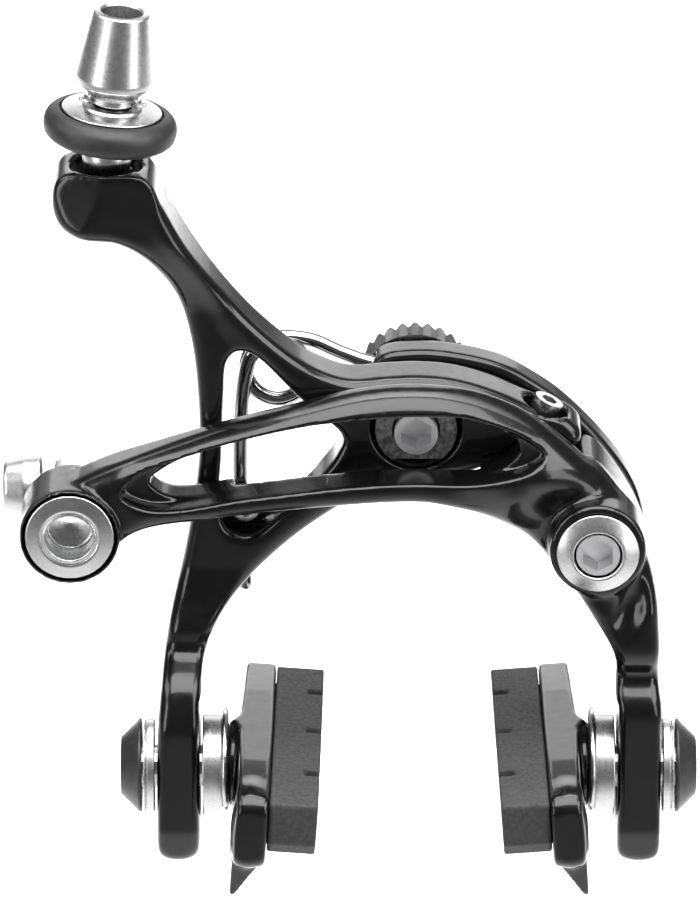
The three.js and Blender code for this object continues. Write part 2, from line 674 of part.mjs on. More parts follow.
for (const [side, hand] of [[-1, 'left'], [1, 'right']]) {
  add(`pad_nut_${hand}`, 'blackMetal', padNut(side));
  add(`pad_outer_washer_${hand}`, 'silver', studRing(side, 34.1, 35.5, CLEAR_R, 6.3));
  add(`pad_inner_washer_${hand}`, 'silver', studRing(side, 24.9, 27.6, CLEAR_R, 6.8));
  add(`pad_cup_washer_${hand}`, 'blackMetal', studRing(side, 24.1, 24.7, CLEAR_R, 6.1));
  add(`pad_stud_${hand}`, 'steel', padStud(side));
  add(`pad_holder_${hand}`, 'paint', cut(padHolder(side), screwWay(side)));
  add(`pad_rubber_${hand}`, 'rubber', padRubber(side));
  add(`pad_clip_${hand}`, 'steel', padClip(side));
  add(`pad_lock_screw_${hand}`, 'steel', padLockScrew(side));
}

export default group;
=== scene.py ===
"""Dual-pivot rim brake caliper: the finished look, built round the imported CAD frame."""

import json
import math

import bmesh
import bpy
import numpy as np
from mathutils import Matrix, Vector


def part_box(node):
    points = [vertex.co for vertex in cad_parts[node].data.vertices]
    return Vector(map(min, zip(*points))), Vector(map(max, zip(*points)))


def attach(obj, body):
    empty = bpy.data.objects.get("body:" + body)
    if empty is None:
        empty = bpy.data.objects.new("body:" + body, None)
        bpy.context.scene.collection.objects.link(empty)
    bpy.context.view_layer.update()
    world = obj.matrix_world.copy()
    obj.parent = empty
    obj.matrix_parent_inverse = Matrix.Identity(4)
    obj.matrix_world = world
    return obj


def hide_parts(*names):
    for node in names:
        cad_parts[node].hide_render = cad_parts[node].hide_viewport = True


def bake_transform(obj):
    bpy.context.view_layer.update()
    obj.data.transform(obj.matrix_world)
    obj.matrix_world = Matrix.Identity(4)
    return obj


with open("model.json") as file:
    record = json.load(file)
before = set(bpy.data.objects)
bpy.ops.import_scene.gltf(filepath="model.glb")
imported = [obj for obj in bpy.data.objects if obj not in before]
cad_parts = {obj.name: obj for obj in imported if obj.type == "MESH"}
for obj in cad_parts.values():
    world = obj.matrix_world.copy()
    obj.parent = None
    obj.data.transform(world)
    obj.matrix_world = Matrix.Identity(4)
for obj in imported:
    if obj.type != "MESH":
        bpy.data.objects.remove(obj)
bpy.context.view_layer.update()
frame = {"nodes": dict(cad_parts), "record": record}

import openvdb as vdb
from mathutils import Matrix, Vector

# Shapes are worked out in millimetres in the CAD frame; pieces are in metres.
MM = 0.001
VOXEL = 0.32
RIM_X = -0.9  # middle of the gap between the pads
PAD_Y = -22.4
PAD_Z = -47.5
PIVOT = (24, -14)  # side pivot, in X and Z
EYE = (-45.8, -12)  # cable eye, in X and Z
SLOT = (-52, -43.5)  # lowest and highest place of a pad stud in its slot
SLOT_R = 3.3
CHEEKS = (27.9, 33.8)  # a leg's flat sides, from the rim's middle
CLAMP = (-12.6, -11.3)  # axis of the clamp bolt's hole, in Y and Z
ADJUSTER_BASE = Vector((-40.7, -17, 36))
ADJUSTER_AXIS = Vector((0.108, 0, 0.994)).normalized()

RECORD = frame["record"]
BODY_OF = {
    node: body
    for body, nodes in RECORD["behaviour"]["bodies"].items()
    for node in nodes
}


# Camera


def make_camera():
    target = Vector((-8.75, -14, -5.15)) * MM
    elevation = math.radians(22.5)
    back = Vector((0, -math.cos(elevation), math.sin(elevation)))  # a metre away
    data = bpy.data.cameras.new("camera")
    data.lens = 300
    data.sensor_width = 36
    data.clip_start = 0.05
    data.clip_end = 20
    camera = bpy.data.objects.new("camera", data)
    camera.location = target + back
    camera.rotation_mode = "QUATERNION"
    camera.rotation_quaternion = (-back).to_track_quat("-Z", "Y")
    bpy.context.collection.objects.link(camera)
    bpy.context.scene.camera = camera


# Materials. Noise scales are in cells per metre, and bump depths in metres.

NOISE_RANGE = (0.3, 0.7)  # where nearly all of the noise lies


def new_material(name, **inputs):
    material = bpy.data.materials.new(name)
    material.use_nodes = True
    shader = material.node_tree.nodes["Principled BSDF"]
    for socket, value in inputs.items():
        shader.inputs[socket.replace("_", " ")].default_value = value
    return material, material.node_tree, shader


def colour_of(tree, shader, value, low, high):
    """Base colour between low and high, by a grey value."""
    tree.links.new(ramp(tree, value, low, high), shader.inputs["Base Color"])


def roughness_of(tree, shader, value, low, high):
    tree.links.new(spread(tree, value, low, high), shader.inputs["Roughness"])


def add_noise(tree, scale, detail=3, stretch=(1, 1, 1)):
    """Noise over the object's own coordinates, in cells per metre."""
    place = tree.nodes.new("ShaderNodeTexCoord")
    mapping = tree.nodes.new("ShaderNodeMapping")
    mapping.inputs["Scale"].default_value = stretch
    noise = tree.nodes.new("ShaderNodeTexNoise")
    noise.inputs["Scale"].default_value = scale
    noise.inputs["Detail"].default_value = detail
    tree.links.new(place.outputs["Object"], mapping.inputs["Vector"])
    tree.links.new(mapping.outputs["Vector"], noise.inputs["Vector"])
    return noise.outputs["Fac"]


def ramp(tree, value, low, high):
    """Turns a grey value into a colour between low and high."""
    node = tree.nodes.new("ShaderNodeValToRGB")
    first, last = node.color_ramp.elements
    first.position, last.position = NOISE_RANGE
    first.color = (*low, 1)
    last.color = (*high, 1)
    tree.links.new(value, node.inputs["Fac"])
    return node.outputs["Color"]


def spread(tree, value, low, high):
    """Maps a grey value to the range low to high."""
    node = tree.nodes.new("ShaderNodeMapRange")
    node.inputs["From Min"].default_value = NOISE_RANGE[0]
    node.inputs["From Max"].default_value = NOISE_RANGE[1]
    node.inputs["To Min"].default_value = low
    node.inputs["To Max"].default_value = high
    tree.links.new(value, node.inputs["Value"])
    return node.outputs["Result"]


def add_bump(tree, shader, value, strength, distance, coat=False):
    node = tree.nodes.new("ShaderNodeBump")
    node.inputs["Strength"].default_value = strength
    node.inputs["Distance"].default_value = distance
    tree.links.new(value, node.inputs["Height"])
    tree.links.new(node.outputs["Normal"], shader.inputs["Normal"])
    if coat:
        tree.links.new(node.outputs["Normal"], shader.inputs["Coat Normal"])


def paint_material():
    material, tree, shader = new_material(
        "gloss_black_paint", Roughness=0.3, Coat_Weight=0.35, Coat_Roughness=0.05, IOR=1.4
    )
    tone = add_noise(tree, 300)
    colour_of(tree, shader, tone, (0.002, 0.002, 0.0021), (0.004, 0.004, 0.0042))
    roughness_of(tree, shader, add_noise(tree, 900), 0.18, 0.27)
    add_bump(tree, shader, add_noise(tree, 1100, 2), 0.05, 0.00002, coat=True)
    return material


def satin_black_material():
    material, tree, shader = new_material("black_anodised", Metallic=0.55, Roughness=0.35)
    tone = add_noise(tree, 700)
    colour_of(tree, shader, tone, (0.035, 0.035, 0.037), (0.055, 0.055, 0.058))
    roughness_of(tree, shader, add_noise(tree, 2500), 0.3, 0.42)
    add_bump(tree, shader, add_noise(tree, 5000, 2), 0.1, 0.00002)
    return material


def turned_material(name, axis):
    """Lathe-turned metal: its fine grooves run round the object's own axis."""
    tone = 0.58
    material, tree, shader = new_material(name, Metallic=1, Anisotropic=0.65)
    tangent = tree.nodes.new("ShaderNodeTangent")
    tangent.direction_type = "RADIAL"
    tangent.axis = axis
    tree.links.new(tangent.outputs["Tangent"], shader.inputs["Tangent"])
    low = (tone * 0.96,) * 3
    high = (tone, tone * 1.003, tone * 1.012)
    colour_of(tree, shader, add_noise(tree, 500), low, high)
    roughness_of(tree, shader, add_noise(tree, 1500), 0.26, 0.3)
    stretch = [1 if letter == axis else 0.12 for letter in "XYZ"]
    add_bump(tree, shader, add_noise(tree, 9000, 2, stretch), 0.012, 0.00001)
    return material


def steel_material(name, tone, rough):
    material, tree, shader = new_material(name, Metallic=1)
    low, high = (tone * 0.92,) * 3, (tone, tone, tone * 1.02)
    colour_of(tree, shader, add_noise(tree, 600), low, high)
    roughness_of(tree, shader, add_noise(tree, 1800), *rough)
    add_bump(tree, shader, add_noise(tree, 4000, 2), 0.02, 0.00002)
    return material


def cast_material():
    """Rough dark steel of the lock plate."""
    material, tree, shader = new_material("rough_steel", Metallic=1)
    colour_of(tree, shader, add_noise(tree, 1500, 5), (0.1, 0.1, 0.1), (0.42, 0.42, 0.42))
    roughness_of(tree, shader, add_noise(tree, 2600), 0.3, 0.55)
    add_bump(tree, shader, add_noise(tree, 2200, 4), 0.5, 0.00008)
    return material


def rubber_material(name, low, high, grain, depth, rough):
    material, tree, shader = new_material(name, Roughness=0.8)
    colour_of(tree, shader, add_noise(tree, grain * 0.6), low, high)
    roughness_of(tree, shader, add_noise(tree, grain), *rough)
    add_bump(tree, shader, add_noise(tree, grain, 5), 0.7, depth)
    return material


def bronze_material():
    material, tree, shader = new_material("bronze", Metallic=1, Roughness=0.35)
    colour_of(tree, shader, add_noise(tree, 900), (0.3, 0.2, 0.09), (0.45, 0.32, 0.16))
    return material


PAINT = paint_material()
SATIN_BLACK = satin_black_material()
TURNED = {axis: turned_material("turned_aluminium_" + axis.lower(), axis) for axis in "XYZ"}
STEEL = steel_material("bright_steel", 0.62, (0.18, 0.28))
WASHER_STEEL = steel_material("washer_steel", 0.22, (0.2, 0.32))
SOCKET_STEEL = steel_material("socket_steel", 0.85, (0.36, 0.46))
SPRING_STEEL = steel_material("spring_steel", 0.36, (0.08, 0.15))
CAST = cast_material()
PAD_RUBBER = rubber_material(
    "pad_rubber", (0.021, 0.021, 0.022), (0.041, 0.041, 0.042), 2600, 0.0001, (0.6, 0.85)
)
RING_RUBBER = rubber_material(
    "ring_rubber", (0.009, 0.009, 0.0095), (0.014, 0.014, 0.0145), 1500, 0.00002, (0.42, 0.54)
)
BRONZE = bronze_material()
PLASTIC = rubber_material(
    "black_plastic", (0.01, 0.01, 0.011), (0.018, 0.018, 0.019), 1800, 0.00003, (0.35, 0.5)
)


# Pieces


def finish_piece(obj, material, node):
    """Gives a new piece its finish and ties it to the CAD node it stands for."""
    obj.data.materials.clear()
    obj.data.materials.append(material)
    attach(obj, BODY_OF[node])
    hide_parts(node)


def new_object(name, vertices, faces, origin=(0, 0, 0)):
    """Mesh object from millimetre vertices in the CAD frame, with its origin at a point."""
    mesh = bpy.data.meshes.new(name)
    start = np.asarray(origin, float)
    scaled = (np.asarray(vertices, float) - start) * MM
    mesh.from_pydata([tuple(v) for v in scaled.tolist()], [], faces)
    mesh.validate()
    mesh.polygons.foreach_set("use_smooth", np.ones(len(mesh.polygons), bool))
    obj = bpy.data.objects.new(name, mesh)
    obj.location = Vector(origin) * MM
    bpy.context.collection.objects.link(obj)
    return obj


def set_sharp(obj, degrees):
    """Marks edges steeper than this angle as sharp."""
    obj.data.set_sharp_from_angle(angle=math.radians(degrees))


# Distance fields, negative inside


def ease(value, start, end):
    t = np.clip((value - start) / (end - start), 0, 1)
    return t * t * (3 - 2 * t)


def mix(a, b, share):
    return a + (b - a) * share


def blend_min(a, b, k):
    h = np.maximum(k - np.abs(a - b), 0) / k
    return np.minimum(a, b) - h * h * k / 4


def round_both(a, b, r):
    """What is inside both, with the edge between them rounded to radius r."""
    outside = np.hypot(np.maximum(a + r, 0), np.maximum(b + r, 0))
    return np.minimum(np.maximum(a + r, b + r), 0) + outside - r


def spline(points, samples):
    """Closed smooth curve through the points, as centripetal Catmull-Rom."""
    p = np.array(points, float)
    count = len(p)
    per_span = max(2, samples // count)
    path = []
    for i in range(count):
        a, b, c, d = (p[(i + k) % count] for k in (-1, 0, 1, 2))
        t1 = np.linalg.norm(b - a) ** 0.5
        t2 = t1 + np.linalg.norm(c - b) ** 0.5
        t3 = t2 + np.linalg.norm(d - c) ** 0.5
        for t in np.linspace(t1, t2, per_span, endpoint=False):
            ab = a + (b - a) * t / t1
            bc = b + (c - b) * (t - t1) / (t2 - t1)
            cd = c + (d - c) * (t - t2) / (t3 - t2)
            abc = ab + (bc - ab) * t / t2
            bcd = bc + (cd - bc) * (t - t1) / (t3 - t1)
            path.append(abc + (bcd - abc) * (t - t1) / (t2 - t1))
    return np.array(path)


class Grid:
    """Sample points round a CAD node's box, and fields over them."""

    def __init__(self, node, voxel=VOXEL):
        low, high = (np.array(corner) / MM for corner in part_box(node))
        self.lay_out(low, high, voxel)

    def lay_out(self, low, high, voxel):
        """Sets the samples out over a box, with a margin of three voxels."""
        self.box = (low, high)
        self.voxel = voxel
        self.low = low - 3 * voxel
        counts = np.ceil((high - low) / voxel).astype(int) + 7
        axes = [
            (self.low[k] + voxel * np.arange(counts[k])).astype(np.float32)
            for k in range(3)
        ]
        self.x = axes[0][:, None, None]
        self.y = axes[1][None, :, None]
        self.z = axes[2][None, None, :]
        self.shape = tuple(counts)

    def flat(self, points):
        """Distance to a closed outline in X and Z."""
        path = spline(points, 2400)
        x, z = np.broadcast_arrays(self.x[:, 0, :], self.z[:, 0, :])
        best = np.full(x.shape, 1e9, np.float32)
        inside = np.zeros(x.shape, bool)
        for (ax, az), (bx, bz) in zip(path, np.roll(path, -1, axis=0)):
            dx, dz = bx - ax, bz - az
            t = np.clip(((x - ax) * dx + (z - az) * dz) / (dx * dx + dz * dz), 0, 1)
            best = np.minimum(best, (x - ax - t * dx) ** 2 + (z - az - t * dz) ** 2)
            if az != bz:
                inside ^= ((az > z) != (bz > z)) & (x < dx * (z - az) / dz + ax)
        distance = np.sqrt(best) * np.where(inside, -1, 1)
        return distance[:, None, :].astype(np.float32)

    def cylinder_y(self, centre, radius, low, high, r=0):
        """Cylinder along Y, its edges rounded to r; centre is in X and Z."""
        round_part = np.hypot(self.x - centre[0], self.z - centre[1]) - radius
        ends = np.maximum(low - self.y, self.y - high)
        return round_both(round_part, ends, r) if r else np.maximum(round_part, ends)

    def cylinder_x(self, y, z, radius, low, high):
        ends = np.maximum(low - self.x, self.x - high)
        return np.maximum(np.hypot(self.y - y, self.z - z) - radius, ends)

    def rod(self, start, end, radius):
        """Round-ended rod between two points."""
        a, b = np.array(start, float), np.array(end, float)
        along = b - a
        rel = (self.x - a[0], self.y - a[1], self.z - a[2])
        t = sum(r * d for r, d in zip(rel, along)) / along.dot(along)
        t = np.clip(t, 0, 1)
        gap = np.sqrt(sum((r - t * d) ** 2 for r, d in zip(rel, along)))
        return gap - radius

    def box_field(self, low, high, r=0):
        axes = (self.x, self.y, self.z)
        sides = [np.maximum(low[k] - axes[k], axes[k] - high[k]) for k in range(3)]
        both = round_both(sides[0], sides[1], r) if r else np.maximum(sides[0], sides[1])
        return round_both(both, sides[2], r) if r else np.maximum(both, sides[2])

    def slot_x(self, low, high):
        """Round-ended slot for a pad stud, from low to high along X."""
        z = self.z - np.clip(self.z, *SLOT)
        ends = np.maximum(low - self.x, self.x - high)
        return np.maximum(np.hypot(self.y - PAD_Y, z) - SLOT_R, ends)

    def sample(self, field, points):
        """Trilinear values of a field at points."""
        p = (points - self.low) / self.voxel
        p = np.clip(p, 0, np.array(self.shape) - 1.001)
        i = p.astype(int)
        f = p - i
        total = 0
        for corner in range(8):
            step = [(corner >> k) & 1 for k in range(3)]
            weight = 1
            for k in range(3):
                weight = weight * (f[:, k] if step[k] else 1 - f[:, k])
            a, b, c = (i[:, k] + step[k] for k in range(3))
            total = total + weight * field[a, b, c]
        return total

    def mesh(self, name, field, origin=(0, 0, 0)):
        """Closed smooth mesh of the field's zero surface."""
        low, high = self.box
        inset = 0.01
        hull = self.box_field(low + inset, high - inset)
        field = np.maximum(np.broadcast_to(field, self.shape), hull).astype(np.float32)
        band = 4 * self.voxel
        volume = vdb.FloatGrid(band)
        volume.copyFromArray(np.clip(field, -band, band).astype(float))
        points, triangles, quads = volume.convertToPolygons(isovalue=0, adaptivity=0)
        points = points.astype(float) * self.voxel + self.low
        slopes = np.gradient(field, self.voxel)
        for _ in range(2):
            value = self.sample(field, points)
            slope = np.stack([self.sample(s, points) for s in slopes], axis=1)
            size = np.maximum((slope**2).sum(axis=1), 0.05)
            step = np.clip(value / size, -0.4 * self.voxel, 0.4 * self.voxel)
            points = points - slope * step[:, None]
        points = np.clip(points, low, high)
        faces = [tuple(f) for f in quads.tolist()] + [tuple(f) for f in triangles.tolist()]
        obj = new_object(name, points, faces, origin)
        tidy_mesh(obj)
        return obj


def tidy_mesh(obj):
    """Joins doubled points, drops specks and turns every face outwards."""
    bm = bmesh.new()
    bm.from_mesh(obj.data)
    bmesh.ops.remove_doubles(bm, verts=bm.verts, dist=1e-7)
    keep_largest(bm)
    bmesh.ops.recalc_face_normals(bm, faces=bm.faces)
    if bm.calc_volume(signed=True) < 0:
        bmesh.ops.reverse_faces(bm, faces=bm.faces)
    bm.to_mesh(obj.data)
    bm.free()
    obj.data.polygons.foreach_set("use_smooth", np.ones(len(obj.data.polygons), bool))


def keep_largest(bm):
    groups = []
    seen = set()
    for start in bm.verts:
        if start in seen:
            continue
        group, stack = [], [start]
        seen.add(start)
        while stack:
            vertex = stack.pop()
            group.append(vertex)
            for edge in vertex.link_edges:
                other = edge.other_vert(vertex)
                if other not in seen:
                    seen.add(other)
                    stack.append(other)
        groups.append(group)
    groups.sort(key=len)
    for group in groups[:-1]:
        bmesh.ops.delete(bm, geom=group, context="VERTS")


def dent(grid, centre, radii, depth, degrees=0):
    """Smooth hollow in an arm's front, as a depth over X and Z."""
    c, s = math.cos(math.radians(degrees)), math.sin(math.radians(degrees))
    dx, dz = grid.x - centre[0], grid.z - centre[1]
    u, v = dx * c + dz * s, dz * c - dx * s
    q = (u / radii[0]) ** 2 + (v / radii[1]) ** 2
    return depth * np.clip(1 - q, 0, 1) ** 2


def leg_cheeks(grid, side):
    """Outside of the slab between a leg's flat cheeks, which ends above the pad's travel."""
    out = (grid.x - RIM_X) * side
    inner = mix(CHEEKS[0] - out, -5, ease(grid.z, -36.8, -33))
    outer = mix(out - CHEEKS[1], -5, ease(grid.z, -39.5, -34))
    return np.maximum(inner, outer)


def leg_front(grid, waist):
    """Depth changes down a leg's front: a waist above the slot and a chamfered toe."""
    hollow = 2.1 * np.exp(-(((grid.z - waist) / 2.4) ** 2))
    toe = 0.25 * np.clip(-54.8 - grid.z, 0, 6)
    return hollow + toe


def relax(obj):
    """Smooths ripples finer than the sampling out of a forging."""
    modifier = obj.modifiers.new("relax", "SMOOTH")
    modifier.factor = 0.5
    modifier.iterations = 7


# Arms

CABLE_OUTLINE = [
    (-46, -6.2), (-40.6, -3.6), (-33.9, -1.4), (-24.6, 1.5), (-15.4, 4), (-7.4, 6),
    (-0.2, 6.6), (7.1, 5.8), (13.7, 3.2), (19.1, -0.7), (24.4, -6.4), (28.5, -12.9),
    (31.3, -20.1), (32, -27.4), (32, -33.4), (32.7, -39.1), (33, -50), (32.9, -58),
    (31.6, -59.3), (28.6, -59.3), (27.2, -58), (27.1, -48), (27.1, -36), (26.9, -29.8),
    (24.4, -24.7), (21, -19.6), (17.7, -16), (13.7, -12.6), (8.4, -9.4), (3.1, -7.5),
    (-0.2, -7.1), (-15.3, -8.1), (-28.5, -9.8), (-37.1, -11.6), (-41, -14.5), (-46, -18),
    (-51.4, -13.6), (-51, -9.4),
]
CABLE_WINDOW_FRONT = [
    (-38.9, -6.6), (-37.2, -4.1), (-33.7, -2.6), (-23.2, 0.5), (-11.4, 3), (-0.2, 4), (7, 3.6),
    (13.2, 1.6), (17, -1.2), (15.2, -3), (11, -4.3), (7, -4.8), (-0.2, -4.5), (-8.8, -5),
    (-21.9, -6.7), (-35.1, -8.6),
]
CABLE_WINDOW_BACK = [
    (-35, -5.6), (-33.6, -4.2), (-30, -2.2), (-23.2, 0.1), (-11.4, 2.7), (-0.2, 3.7), (7, 3.2),
    (12, 1), (13.4, -0.8), (12.6, -2.4), (10, -3.8), (7, -4.3), (-0.2, -4.1), (-8.8, -4.6),
    (-21.9, -6.2), (-32.5, -7.4),
]
HOUSING_OUTLINE = [
    (-45.6, 36.1), (-46.9, 34.8), (-47.3, 31.5), (-46.4, 29.3), (-43.6, 27.8), (-39.4, 27.3),
    (-36.1, 25.5), (-33.3, 22.4), (-30.9, 18), (-29.3, 11.9), (-28.5, 4), (-28.4, -4),
    (-29.2, -11), (-30.6, -19), (-32.6, -28), (-33.6, -35.4), (-34.4, -44.2), (-34.6, -54),
    (-34.5, -58), (-33.2, -59.3), (-30.6, -59.3), (-29.2, -58), (-28.9, -50), (-28.8, -40),
    (-28.9, -33.4), (-27.4, -28.3), (-25.4, -25), (-21.4, -20.5), (-16.7, -16), (-11.4, -12),
    (-6, -8.8), (0, -7.6), (6, -6.6), (11, -5), (16, -4.2), (19.8, -3.6), (21.6, -1.7),
    (20.2, 0.3), (15.1, 2.2), (9.6, 4.7), (4.6, 6.1), (0, 6.5), (-4.1, 6.3), (-8.8, 6),
    (-12.4, 7.1), (-15.8, 9), (-21.9, 14.4), (-27, 20.6), (-31.2, 27.2), (-33.6, 32),
    (-34.9, 35), (-36.2, 36.2), (-41, 36.4),
]
HOUSING_WINDOW = [
    (-23.6, 10.6), (-25, 9.2), (-25.5, 4), (-25.8, -4), (-26.1, -11.4), (-24.9, -15),
    (-22, -15.8), (-18, -12.6), (-14.5, -9.6), (-12.6, -7.2), (-10.6, -4.4), (-9.7, -1.6),
    (-12.2, 1.2), (-15.4, 4), (-20.4, 9.3), (-22, 10.4),
]
PIVOT_BOSS = [
    (23.3, -4.2), (25.1, -5.9), (29.1, -12.3), (31.5, -19.9), (31.6, -23.4), (28.6, -25.2),
    (24.2, -22.6), (19.6, -18.8), (17.5, -15.6), (17.4, -11.6), (18.8, -8), (20.8, -5.2),
    (22.1, -4),
]
BRIDGE_OUTLINE = [
    (-5.6, 1.5), (-5.7, 4.2), (-4.3, 6), (-0.1, 6.7), (4.6, 6.4), (11.2, 4.8), (15.5, 2.4),
    (19.3, -0.4), (24.7, -6), (28.8, -12), (30.1, -16.2), (30.2, -20), (28, -22.5),
    (24.8, -21.6), (21, -18.6), (17.5, -14.5), (13.5, -10.2), (8.4, -7.6), (2, -6.6),
    (-3, -5.6), (-5.2, -2),
]


def plate_field(grid, outline, front, back, front_r, back_r):
    """Plate of an outline between two depths, with rounded edges."""
    ahead = round_both(outline, front - grid.y, front_r)
    behind = round_both(outline, grid.y - back, back_r)
    return np.maximum(ahead, behind)


def cable_arm():
    """Front arm: rails round a window, a deep flank at the side pivot, one leg."""
    g = Grid("cable_arm")
    outline = g.flat(CABLE_OUTLINE) - 0.4
    # Front face: the upper rail steps back and rolls over, two hollows, a sloping shoulder.
    low = ease(-g.z, 24, 38)
    back = mix(-19.7, -16.2, low)
    front = mix(-27.5, -28.6, low)
    middle = np.interp(g.x, [-40, -0.2, 16], [-6.5, -0.2, -0.8])
    top = ease(g.z - middle, -1.5, 1.5) * (1 - ease(g.x, 5, 19))
    rail = -23.2 - 2.4 * np.sin(np.pi / 2 * np.clip(-outline / 3.2, 0, 1))
    front = mix(front, rail, top)
    front = mix(front, -27.1, ease(-g.x, 25, 40))
    front = front + dent(g, (19.6, -10.2), (8.2, 7.2), 2.6)
    front = front + dent(g, (28.4, -22.2), (2.8, 5.6), 1.5, -12)
    front = front + leg_front(g, -33)
    slope = np.clip(6 + outline, 0, 6)
    front = front + 0.11 * slope**2 * ease(g.x, 2, 16) * ease(g.z, -24, -12)
    # The flank grows out to the pivot boss behind the front face.
    boss = g.flat(PIVOT_BOSS) - 0.2
    flank = mix(outline, blend_min(outline, boss, 0.8), ease(g.y, -27, -19))
    rim = mix(1.5, 3.2, ease(-g.x, 26, 36) * ease(g.z, -12, -7))
    body = plate_field(g, flank, front, back, rim, 0.6)
    heel = round_both(boss, np.maximum(-21.2 - g.y, g.y + 11.2), 0.6)
    body = blend_min(body, heel, 0.5)
    body = round_both(body, leg_cheeks(g, 1), 0.7)
    # Window with drafted walls, then the bosses and everything that is cut.
    through = g.flat(CABLE_WINDOW_BACK) + 0.07 * (g.y + 19.7)
    pocket = np.maximum(g.flat(CABLE_WINDOW_FRONT) + 0.06 * (g.y + 27.5), g.y + 24.2)
    body = round_both(body, -np.minimum(through, pocket), 0.4)
    body = blend_min(body, g.cylinder_y(EYE, 6.65, -28, -18.2, 0.25), 0.5)
    body = blend_min(body, g.cylinder_y(PIVOT, 6.4, -27.9, -20.5, 0.4), 1.0)
    cuts = [
        g.cylinder_y(EYE, 5.2, -40, 0),
        g.cylinder_y(EYE, 6.25, -40, -26.8),
        g.cylinder_y(PIVOT, 4.4, -40, 0),
        g.box_field((-24, -22.1, -13), (8.5, -15, -3.9), 0.6),
        g.slot_x(20, 40),
        g.cylinder_y((13.8, -8.5), 1.5, -23.4, -10),
    ]
    for tool in cuts:
        body = round_both(body, -tool, 0.15)
    piece = g.mesh("cable_arm_forging", body)
    relax(piece)
    finish_piece(piece, PAINT, "cable_arm")


def housing_arm():
    """Rear arm: neck up to the adjuster, triangular window, tail and the other leg."""
    g = Grid("housing_arm")
    outline = g.flat(HOUSING_OUTLINE) - 0.4
    low = ease(-g.z, 20, 41)
    high = ease(g.z, 16, 28)
    front = -19 - 9.6 * low - 3.4 * high
    back = -11.2 - 5 * low - 0.2 * high
    front = front + leg_front(g, -31)
    crease = -41.1 - 0.05 * np.clip(36 - g.z, 0, 12) ** 2
    panel = ease(g.z, 24, 26) * np.clip(crease - g.x, 0, 8)
    front = front + 0.3 * panel
    flank = ease(g.z, 6, 14) * (1 - ease(g.z, 25, 31))
    front = front + flank * 0.5 * ease(-outline, 1, 6)
    rim = mix(1.7, 0.5, ease(g.z, 30, 35))
    body = plate_field(g, outline, front, back, rim, 0.9)
    body = round_both(body, leg_cheeks(g, -1), 0.7)
    body = round_both(body, -g.flat(HOUSING_WINDOW), 0.9)
    # Socket of the adjuster's ball seat and the hole below it.
    base = np.array(ADJUSTER_BASE)
    axis = np.array(ADJUSTER_AXIS)
    rel = (g.x - base[0], g.y - base[1], g.z - base[2])
    height = sum(r * a for r, a in zip(rel, axis))
    around = np.sqrt(np.maximum(sum(r * r for r in rel) - height**2, 0))
    socket = np.maximum(around - 3.4 - 1.3 * ease(height, -2.4, -0.4), -8 - height)
    cuts = [
        g.cylinder_y((0, 0), 4.4, -30, 0),
        g.cylinder_y((0, 0), 5.9, -30, -17.8),
        g.slot_x(-40, -20),
        socket,
        g.rod(base - 7 * axis, base - 20 * axis, 1.6),
        g.rod((14.9, -15.1, -3.6), (19.2, -15.1, 5.8), 2.35),
        g.rod((17.1, -15.1, 1.3), (19.4, -15.1, 6.2), 3.1),
    ]
    for tool in cuts:
        body = round_both(body, -tool, 0.25)
    piece = g.mesh("housing_arm_forging", body)
    relax(piece)
    finish_piece(piece, PAINT, "housing_arm")


def bridge_plate():
    g = Grid("bridge", 0.3)
    outline = g.flat(BRIDGE_OUTLINE) - 0.6
    body = plate_field(g, outline, -10.1, -5, 0.9, 0.7)
    for tool in (
        g.cylinder_y((0, 0), 3.2, -30, 5),
        g.cylinder_y(PIVOT, 3.2, -30, 5),
        g.rod((-9, -7, 4.5), (-2.2, -7, 4.5), 1.3),
    ):
        body = round_both(body, -tool, 0.15)
    piece = g.mesh("bridge_forging", body)
    relax(piece)
    finish_piece(piece, PAINT, "bridge")


def spring_block():
    """Sloped plastic block on the arm's back with the spring's hole."""
    g = Grid("spring_block", 0.2)
    body = g.box_field((-26.3, -10.8, -16.5), (-20.7, -6, -10.9), 0.5)
    top = (g.z + 11.2 + 0.55 * (g.y + 10.9)) * 0.876
    body = round_both(body, top, 0.5)
    body = round_both(body, -g.rod((-23.45, -8.5, -5), (-23.35, -8.5, -20), 1.35), 0.1)
    body = round_both(body, -g.cylinder_y((-22.7, -12.9), 1.7, -12, -10.5), 0.1)
    finish_piece(g.mesh("spring_holder", body), PLASTIC, "spring_block")


# Turned pieces


def lathe(name, profile, base, axis, material, node):
    """Turned piece from a closed profile of (radius, height) points."""
    sides = 96
    axis = Vector(axis).normalized()
    turn = Vector((0, 0, 1)).rotation_difference(axis).to_matrix()
    base = Vector(base)
    vertices, rings = [], []
    for r, h in profile:
        rings.append(list(range(len(vertices), len(vertices) + sides)))
        for i in range(sides):
            a = 2 * math.pi * i / sides
            vertices.append(base + turn @ Vector((r * math.cos(a), r * math.sin(a), h)))
    faces = []
    for lower, upper in zip(rings, rings[1:] + rings[:1]):
        for i in range(sides):
            j = (i + 1) % sides
            faces.append([lower[i], lower[j], upper[j], upper[i]])
    obj = new_object(name, [tuple(v) for v in vertices], faces, origin=tuple(base))
    tidy_mesh(obj)
    set_sharp(obj, 35)
    finish_piece(obj, material, node)


